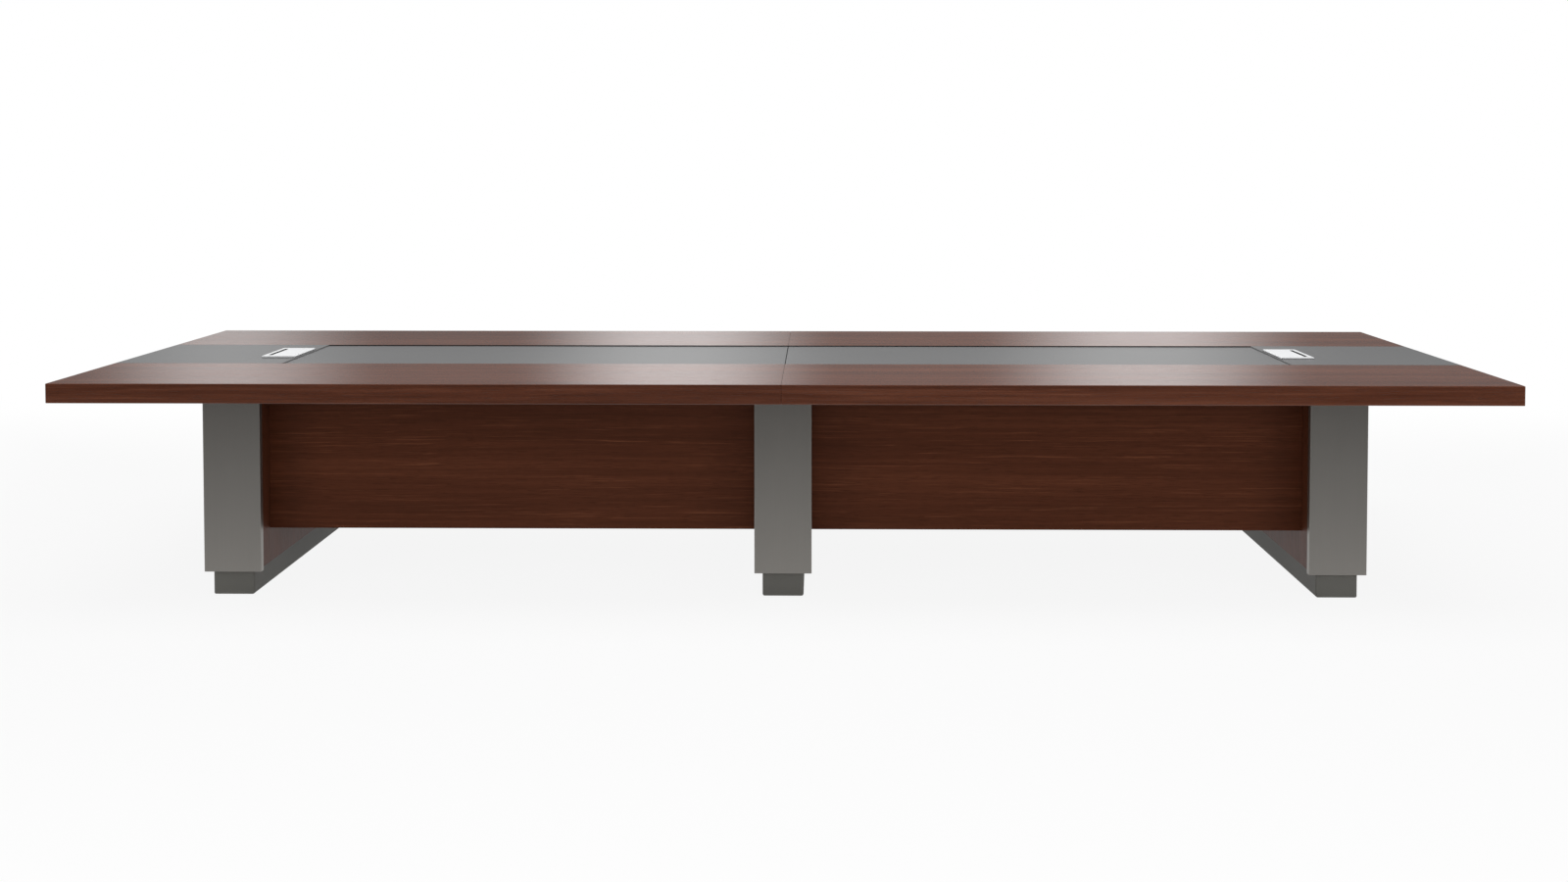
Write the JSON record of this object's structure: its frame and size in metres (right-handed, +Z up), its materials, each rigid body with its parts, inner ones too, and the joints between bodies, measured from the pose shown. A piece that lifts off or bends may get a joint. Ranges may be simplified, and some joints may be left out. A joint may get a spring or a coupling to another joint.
{
  "type": "conference table",
  "caption": "Long meeting table: walnut veneer top with a grey middle band and hinged cable flaps, on hollow panel legs with grey metal caps and plinths, and modesty panels.",
  "frame": {"origin": "on the floor under the middle of the table top", "axes": "+X along the table to the right seen from the front, -Y towards the front, +Z up"},
  "size_m": [4.8, 1.6, 0.7665],
  "materials": {
    "walnut_top": "lacquered walnut veneer, satin gloss",
    "walnut_panel": "lacquered walnut veneer, satin",
    "grey_laminate": "grey laminate on board, satin",
    "cap_metal": "grey metallic coated steel, fine brushed",
    "plinth_metal": "grey metallic coated steel",
    "flap_aluminium": "silver anodised",
    "bright_steel": "ground",
    "glide_steel": "zinc plated",
    "carcass_board": "raw fibreboard",
    "black_rubber": "matt black rubber trim",
    "black_steel": "black powder coat"
  },
  "bodies": {
    "table": {"top_board_front_left": "walnut_top", "rail_front_left": "black_steel", "modesty_front_left": "walnut_panel", "top_board_rear_left": "walnut_top", "rail_rear_left": "black_steel", "modesty_rear_left": "walnut_panel", "band_end_left": "grey_laminate", "band_port_left": "grey_laminate", "band_middle_left": "grey_laminate", "left_flap_frame": "flap_aluminium", "left_flap_rod": "bright_steel", "left_flap_liner": "black_rubber", "top_board_front_right": "walnut_top", "rail_front_right": "black_steel", "modesty_front_right": "walnut_panel", "top_board_rear_right": "walnut_top", "rail_rear_right": "black_steel", "modesty_rear_right": "walnut_panel", "band_end_right": "grey_laminate", "band_port_right": "grey_laminate", "band_middle_right": "grey_laminate", "right_flap_frame": "flap_aluminium", "right_flap_rod": "bright_steel", "right_flap_liner": "black_rubber", "left_leg_front_cap": "cap_metal", "left_leg_front_stile": "carcass_board", "left_leg_rear_cap": "cap_metal", "left_leg_rear_stile": "carcass_board", "left_leg_left_side": "walnut_panel", "left_leg_right_side": "walnut_panel", "left_leg_base": "carcass_board", "left_leg_plinth": "plinth_metal", "middle_leg_front_cap": "cap_metal", "middle_leg_front_stile": "carcass_board", "middle_leg_rear_cap": "cap_metal", "middle_leg_rear_stile": "carcass_board", "middle_leg_left_side": "walnut_panel", "middle_leg_right_side": "walnut_panel", "middle_leg_base": "carcass_board", "middle_leg_plinth": "plinth_metal", "right_leg_front_cap": "cap_metal", "right_leg_front_stile": "carcass_board", "right_leg_rear_cap": "cap_metal", "right_leg_rear_stile": "carcass_board", "right_leg_left_side": "walnut_panel", "right_leg_right_side": "walnut_panel", "right_leg_base": "carcass_board", "right_leg_plinth": "plinth_metal", "join_plate_front": "black_steel", "join_plate_rear": "black_steel"},
    "left_lid": {"left_flap_lid": "flap_aluminium", "left_flap_lid_trim": "black_rubber"},
    "right_lid": {"right_flap_lid": "flap_aluminium", "right_flap_lid_trim": "black_rubber"},
    "left_front_glide": {"left_leg_front_glide": "glide_steel"},
    "left_rear_glide": {"left_leg_rear_glide": "glide_steel"},
    "middle_front_glide": {"middle_leg_front_glide": "glide_steel"},
    "middle_rear_glide": {"middle_leg_rear_glide": "glide_steel"},
    "right_front_glide": {"right_leg_front_glide": "glide_steel"},
    "right_rear_glide": {"right_leg_rear_glide": "glide_steel"}
  },
  "joints": [
    {"name": "left_lid_hinge", "type": "hinge", "parent": "table", "child": "left_lid", "pos_m": [-1.81, 0, 0.7635], "axis": [0, 1, 0], "range_deg": [0, 100]},
    {"name": "right_lid_hinge", "type": "hinge", "parent": "table", "child": "right_lid", "pos_m": [1.81, 0, 0.7635], "axis": [0, -1, 0], "range_deg": [0, 100]},
    {"name": "left_front_glide_screw", "type": "slide", "parent": "table", "child": "left_front_glide", "axis": [0, 0, 1], "range_m": [-0.012, 0.002]},
    {"name": "left_rear_glide_screw", "type": "slide", "parent": "table", "child": "left_rear_glide", "axis": [0, 0, 1], "range_m": [-0.012, 0.002]},
    {"name": "middle_front_glide_screw", "type": "slide", "parent": "table", "child": "middle_front_glide", "axis": [0, 0, 1], "range_m": [-0.012, 0.002]},
    {"name": "middle_rear_glide_screw", "type": "slide", "parent": "table", "child": "middle_rear_glide", "axis": [0, 0, 1], "range_m": [-0.012, 0.002]},
    {"name": "right_front_glide_screw", "type": "slide", "parent": "table", "child": "right_front_glide", "axis": [0, 0, 1], "range_m": [-0.012, 0.002]},
    {"name": "right_rear_glide_screw", "type": "slide", "parent": "table", "child": "right_rear_glide", "axis": [0, 0, 1], "range_m": [-0.012, 0.002]}
  ]
}
